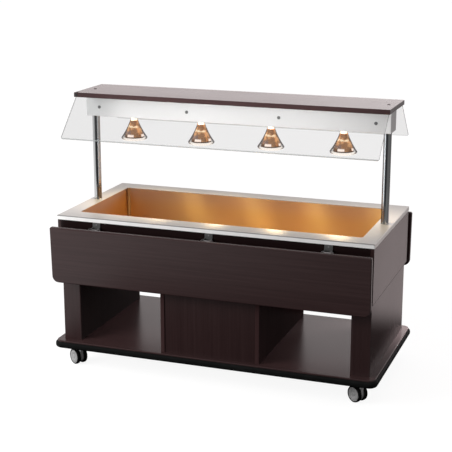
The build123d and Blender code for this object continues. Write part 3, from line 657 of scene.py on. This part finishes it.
def gathered(name, mesh, places):  # copies of one small mesh in a single mesh
    build = bmesh.new()
    for place in places:
        first = len(build.verts)
        build.from_mesh(mesh)
        build.verts.ensure_lookup_table()
        bmesh.ops.transform(build, matrix=place, verts=build.verts[first:])
    whole = settled(name, build)
    whole.shade_smooth()
    return whole


def bar(name, wide, thick, tall):  # a small bar with softened edges
    build = bmesh.new()
    bmesh.ops.create_cube(build, size=1.0, matrix=Matrix.Diagonal((wide, thick, tall, 1.0)))
    soft = min(wide, thick, tall) * 0.3
    bmesh.ops.bevel(build, geom=build.edges[:], offset=soft, segments=2, affect="EDGES", profile=0.5)
    return settled(name, build)


screw = {
    "head": [(0.0, 0.0006), (0.0011, 0.0006), (0.0013, 0.0016), (0.0022, 0.0017), (0.0031, 0.0012), (0.0036, 0.0004),
             (0.0036, 0.0)],
    "turns": 24, "lobes": 6, "lobeDepth": 0.10, "socket": (0.0005, 0.00165),
    "hingeX": [-0.532, 0.0, 0.532], "plateFace": -0.3505, "plateZ": [0.7005, 0.6520],
    "forkFace": -0.3925, "forkZ": [0.632, 0.655], "lean": 2.2,
    "castor": (0.6685, 0.2775, 0.107), "castorPitch": 0.026,
    "panelX": [-0.195, 0.195], "panelZ": [0.160, 0.302, 0.445], "panelFace": 0.3435,
}


def lobed(angle, height):  # the star socket in the head
    shallow, deep = screw["socket"]
    return 1.0 + (screw["lobeDepth"] * math.cos(angle * screw["lobes"]) if shallow < height < deep else 0.0)


head = lathe("screwHead", screw["head"], screw["turns"], lobed)


def screwSet(name, places, body, finish):
    piece(name, gathered(name, head, places), body, finishes[finish])


sides = {"leaf_front": Matrix.Identity(4), "leaf_rear": tipped(180, "Z")}
screwSet("hingeScrews", [side @ standing((x, screw["plateFace"], z), (0, -1, 0))
                         for side in sides.values() for x in screw["hingeX"] for z in screw["plateZ"]],
         "trolley", "plainSteel")
pivot = Vector(jointAt["leaf_front_fold"]["pos_m"])
hang = Matrix.Translation(pivot) @ tipped(screw["lean"], "X") @ Matrix.Translation(-pivot)
for body, side in sides.items():
    screwSet(f"forkScrews.{body}", [side @ hang @ standing((x, screw["forkFace"], z), (0, 1, 0))
                                    for x in screw["hingeX"] for z in screw["forkZ"]], body, "plainSteel")
corners = [(x, y) for x in (-1, 1) for y in (-1, 1)]
castorX, castorY, castorZ = screw["castor"]
pitch = screw["castorPitch"]
screwSet("castorScrews", [standing((x * castorX + dx * pitch, y * castorY + dy * pitch, castorZ), (0, 0, -1))
                          for x, y in corners for dx, dy in corners], "trolley", "plainSteel")
screwSet("panelScrews", [standing((x, screw["panelFace"], z), (0, 1, 0))
                         for x in screw["panelX"] for z in screw["panelZ"]], "trolley", "boltSteel")
print("screws in")

marks = {
    "pointer": (0.0016, 0.0004, 0.0085), "pointerOut": 0.0188, "pointerReach": 0.0088,
    "tick": (0.0009, 0.0003, 0.0040), "tickOut": 0.0001, "tickReach": 0.0275, "ticks": 11, "sweep": 270,
    "line": (0.0010, 0.0003, 0.0046),
    "ring": [(0.0013, 0.0), (0.0013, 0.0003), (0.0021, 0.0003), (0.0021, 0.0)], "ringTurns": 32,
    "rockerTilt": -8.0, "faceTilt": 11.77, "faceAt": (0.00625, 0.0060),
    "rib": (0.0140, 0.0012, 0.0008), "ribAt": [0.011, 0.016, 0.021, 0.026], "ribRise": 0.0018, "pedalSlope": 8.0,
}


def markSet(name, mesh, places, body, finish="markWhite"):
    piece(name, gathered(name, mesh, places), body, finishes[finish])


knobAt = Matrix.Translation(Vector(jointAt["thermostat_turn"]["pos_m"]))
place = knobAt @ tipped(-marks["sweep"] / 2, "Y") @ Matrix.Translation((0, marks["pointerOut"], marks["pointerReach"]))
markSet("knobPointer", bar("pointerBar", *marks["pointer"]), [place], "thermostat_knob")
turns = [marks["sweep"] * (k / (marks["ticks"] - 1) - 0.5) for k in range(marks["ticks"])]
places = [knobAt @ tipped(turn, "Y") @ Matrix.Translation((0, marks["tickOut"], marks["tickReach"])) for turn in turns]
markSet("dialTicks", bar("tickBar", *marks["tick"]), places, "trolley")
for body in ("heat_switch", "lamp_switch"):
    at = Matrix.Translation(Vector(jointAt[f"{body}_rock"]["pos_m"])) @ tipped(marks["rockerTilt"], "X")
    out, rise = marks["faceAt"]
    upper = at @ Matrix.Translation((0, out, rise)) @ tipped(-marks["faceTilt"], "X")
    lower = at @ Matrix.Translation((0, out, -rise)) @ tipped(marks["faceTilt"] - 90, "X")
    markSet(f"onMark.{body}", bar("lineBar", *marks["line"]), [upper], body)
    markSet(f"offMark.{body}", lathe("ringMark", marks["ring"], marks["ringTurns"]), [lower], body)
for body in ("brake_pedal_rear_left", "brake_pedal_rear_right"):
    press = jointAt[f"{body}_press"]
    across = Vector(press["axis"]).normalized()
    frameAt = Matrix((across, Vector((0, 0, 1)).cross(across), (0, 0, 1))).transposed().to_4x4()
    tread = Matrix.Translation(Vector(press["pos_m"])) @ frameAt @ tipped(marks["pedalSlope"], "X")
    places = [tread @ Matrix.Translation((0, -reach, marks["ribRise"])) for reach in marks["ribAt"]]
    markSet(f"ribs.{body}", bar("ribBar", *marks["rib"]), places, body, "controlBlack")
cornerBlock = {"wide": 0.022, "deep": 0.026, "proud": 0.0007}  # a thin black block over the left front corner of the top board
low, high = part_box("top_board")
proud = Vector((cornerBlock["proud"],) * 3)
cornerLow, cornerHigh = low - proud, Vector((low.x + cornerBlock["wide"], low.y + cornerBlock["deep"], high.z)) + proud
middle = Matrix.Translation((cornerLow + cornerHigh) / 2)
markSet("boardCornerBlock", bar("cornerBar", *(cornerHigh - cornerLow)), [middle], "trolley", "controlBlack")
print("marks, ribs and cap in")

photoView = {"lens": 95.284, "sensor": 36.0, "at": (1.7536, -4.9852, 2.0517), "toward": (-0.0465, 0.0, 0.6527)}


def aimed(at, toward):
    return (Vector(toward) - Vector(at)).to_track_quat("-Z", "Y").to_euler()


camera = bpy.data.cameras.new("photoView")
camera.lens = photoView["lens"]
camera.sensor_width = photoView["sensor"]
view = placed("photoView", camera)
view.location = photoView["at"]
view.rotation_euler = aimed(photoView["at"], photoView["toward"])
scene.camera = view

studio = {
    # brightness round the horizon, by degrees from the front towards the right end, above it and below it
    "ringHigh": [(-180, 1.55), (-168, 1.50), (-160, 1.15), (-153, 1.15), (-140, 0.95), (-110, 0.50), (-60, 0.55),
                 (-20, 0.35), (20, 0.22), (60, 0.09), (110, 0.10), (145, 0.50), (180, 1.55)],
    "ringLow": [(-180, 0.55), (-150, 0.80), (-118, 0.50), (-62, 0.74), (-40, 0.38), (-22, 0.16), (10, 0.06), (34, 0.09),
                (60, 0.14), (95, 0.10), (130, 0.12), (160, 0.14), (180, 0.55)],
    "overhead": 0.40, "strength": 1.3, "backTint": (1.0, 0.935, 0.935), "backFrom": 135,
    "horizon": (-0.10, 0.02), "overheadFrom": (0.12, 0.42),
}
world = bpy.data.worlds.new("studio")
scene.world = world
sky = Net(world)
skyX, skyY, skyZ = sky.axes(0)
turn = sky.add("ShaderNodeMath", {"operation": "ARCTAN2"}, {0: skyX, 1: skyY * -1.0})


def skyRing(kind):  # the rear part has a tint
    stops = []
    for degrees, tone in studio[kind]:
        tint = studio["backTint"] if abs(degrees) > studio["backFrom"] else (1.0, 1.0, 1.0)
        stops.append(((degrees + 180) / 360, [tone * part for part in tint]))
    return sky.ramp(turn / (2 * math.pi) + 0.5, stops)


ring = sky.mix(sky.spread(skyZ, *studio["horizon"]), skyRing("ringLow"), skyRing("ringHigh"))
overhead = rgb(*[studio["overhead"] * part for part in studio["backTint"]])
dome = sky.mix(sky.spread(skyZ, *studio["overheadFrom"]), ring, overhead)
seen = sky.add("ShaderNodeLightPath")  # a plain white backdrop
backdrop = sky.add("ShaderNodeBackground", None, {0: sky.mix(seen, dome, rgb(1.0, 1.0, 1.0)), 1: studio["strength"]})
sky.add("ShaderNodeOutputWorld", None, {0: backdrop})
scene.view_settings.view_transform = "Standard"


def lightOn(name, kind, power, at):
    data = bpy.data.lights.new(name, kind)
    data.energy = power
    light = placed(name, data)
    light.location = at
    return light


def softBox(name, power, size, at, toward):
    light = lightOn(name, "AREA", power, at)
    light.data.shape = "RECTANGLE"
    light.data.size, light.data.size_y = size
    light.rotation_euler = aimed(at, toward)
    light.visible_glossy = light.visible_camera = False
    return light


def litOnly(node):  # for a light that falls on one node
    lit = bpy.data.collections.new(f"{node}Alone")
    lit.objects.link(nodes[node])
    return lit


softBoxes = {  # power, size, place and aim
    "keyLeft": (104.0, (1.8, 1.8), (-2.6, -2.4, 1.7), (-0.4, -0.3, 0.8)),
    "gantryStrip": (2.9, (1.3, 0.2), (0.02, -2.4, 1.3), (0.02, 0.0, 1.22)),
    "shelfLeft": (0.75, (0.36, 0.62), (-0.432, 0.0, 0.455), (-0.432, 0.0, 0.1)),  # on the compartments' floors
    "shelfRight": (0.75, (0.36, 0.62), (0.432, 0.0, 0.455), (0.432, 0.0, 0.1)),
    "endFill": (3.2, (0.2, 0.2), (0.95, 0.5, 0.38), (0.745, 0.28, 0.14)),  # on the base beside the right leg
    "betweenLamps": (1.3, (1.45, 0.05), (-0.06, 0.0, 1.0), (-0.06, 0.0, 0.0)),  # the lamps' spill
}
boxSpread = {"gantryStrip": 24, "endFill": 70}  # degrees
boxColour = {"endFill": (0.72, 1.0, 1.0), "betweenLamps": (1.0, 0.75, 0.45)}
baseAlone, wellAlone, rimAlone = litOnly("base_panel"), litOnly("well_tub"), litOnly("top_rim")
boxOn = {"shelfLeft": baseAlone, "shelfRight": baseAlone, "endFill": baseAlone, "betweenLamps": wellAlone}
for name, row in softBoxes.items():
    light = softBox(name, *row)
    if name in boxSpread:
        light.data.spread = math.radians(boxSpread[name])
    if name in boxColour:
        light.data.color = boxColour[name]
    if name in boxOn:
        light.light_linking.receiver_collection = boxOn[name]
    light.visible_glossy = name == "betweenLamps"
warm = {
    "onRim": [9.0, 4.6, 4.0, 4.0], "rimColour": (1.0, 0.76, 0.44), "inWell": [1.7, 1.7, 1.7, 1.7],
    "wellColour": (1.0, 0.92, 0.36), "cone": 1.9, "blend": 0.5, "size": 0.035, "shift": 0.04, "drop": 0.012,
}
for number in range(1, 5):
    low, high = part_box(f"lamp_{number}")
    at = ((low.x + high.x) / 2 + warm["shift"], 0.0, low.z - warm["drop"])
    for kind, lit, colour in (("onRim", rimAlone, "rimColour"), ("inWell", wellAlone, "wellColour")):
        light = lightOn(f"{kind}{number}", "SPOT", warm[kind][number - 1], at)
        light.data.color = warm[colour]
        light.data.spot_size = warm["cone"]
        light.data.spot_blend = warm["blend"]
        light.data.shadow_soft_size = warm["size"]
        light.light_linking.receiver_collection = lit


def ground(name, reach, height, finish):
    mesh = bpy.data.meshes.new(name)
    corners = [(-reach, -reach, height), (reach, -reach, height), (reach, reach, height), (-reach, reach, height)]
    mesh.from_pydata(corners, [], [(0, 1, 2, 3)])
    mesh.materials.append(finish)
    sheet = placed(name, mesh)
    return sheet


paleFloor = {"low": (0.20, 0.20, 0.20), "high": (0.22, 0.22, 0.22), "glow": 0.90, "reach": 30.0}
floorNet = finishNet("paleFloor")
floor = ground("floor", paleFloor["reach"], 0.0, floorNet.skin({
    "Base Color": floorNet.mix(floorNet.noise(1.5, 3.0, 0.5), rgb(*paleFloor["low"]), rgb(*paleFloor["high"])),
    "Roughness": 0.9,
    "Specular IOR Level": 0.1,
    "Emission Color": rgb(1.0, 1.0, 1.0),
    "Emission Strength": paleFloor["glow"],
}))
floor.visible_glossy = False
floor.visible_diffuse = False

bounce = {  # a hidden glowing sheet that the glossy panels see in place of the floor, with a painted shadow: dark close by, bright further off
    "reach": 3.2, "height": -0.002, "dark": (0.01, 0.01, 0.01), "frontTone": (1.0, 1.0, 1.0),
    "rearTone": (1.0, 0.86, 0.86),
    "rear": 0.62, "frontLeft": 1.0, "frontRight": 0.2, "frontAcross": (-1.7, 0.4), "frontToRear": (-0.4, 0.4),
    "endsFrom": (0.90, 0.99), "rearFrom": (2.6, 3.2), "frontFrom": (-1.2, -2.0),
    "besideFrom": (0.6, 0.7), "besideTo": (0.62, 1.08),
}
sheetNet = finishNet("shadowedBounceSheet")
sheetX, sheetY, sheetZ = sheetNet.axes()
clear = sheetNet.spread(abs(sheetX), *bounce["endsFrom"]).orMore(sheetNet.spread(sheetY, *bounce["rearFrom"]))
clear = clear.orMore(sheetNet.spread(sheetY, *bounce["frontFrom"]))
front = sheetNet.spread(sheetX, *bounce["frontAcross"], bounce["frontLeft"], bounce["frontRight"])
behind = sheetNet.spread(sheetY, *bounce["frontToRear"])
beside = sheetNet.spread(sheetX, *bounce["besideFrom"]) * behind  # off the right end the painted shadow stops at one line
clear = clear * (1 - beside) + beside * sheetNet.spread(sheetY, *bounce["besideTo"])
level = clear * (front * (1 - behind) + behind * bounce["rear"])
bright = sheetNet.mix(behind, rgb(*bounce["frontTone"]), rgb(*bounce["rearTone"]))
sheet = ground("shadowedBounceSheet", bounce["reach"], bounce["height"], sheetNet.skin({
    "Base Color": rgb(0.0, 0.0, 0.0),
    "Roughness": 1.0,
    "Specular IOR Level": 0.0,
    "Emission Color": sheetNet.mix(level, rgb(*bounce["dark"]), bright),
    "Emission Strength": 1.0,
}))
sheet.visible_camera = False
print("studio set")
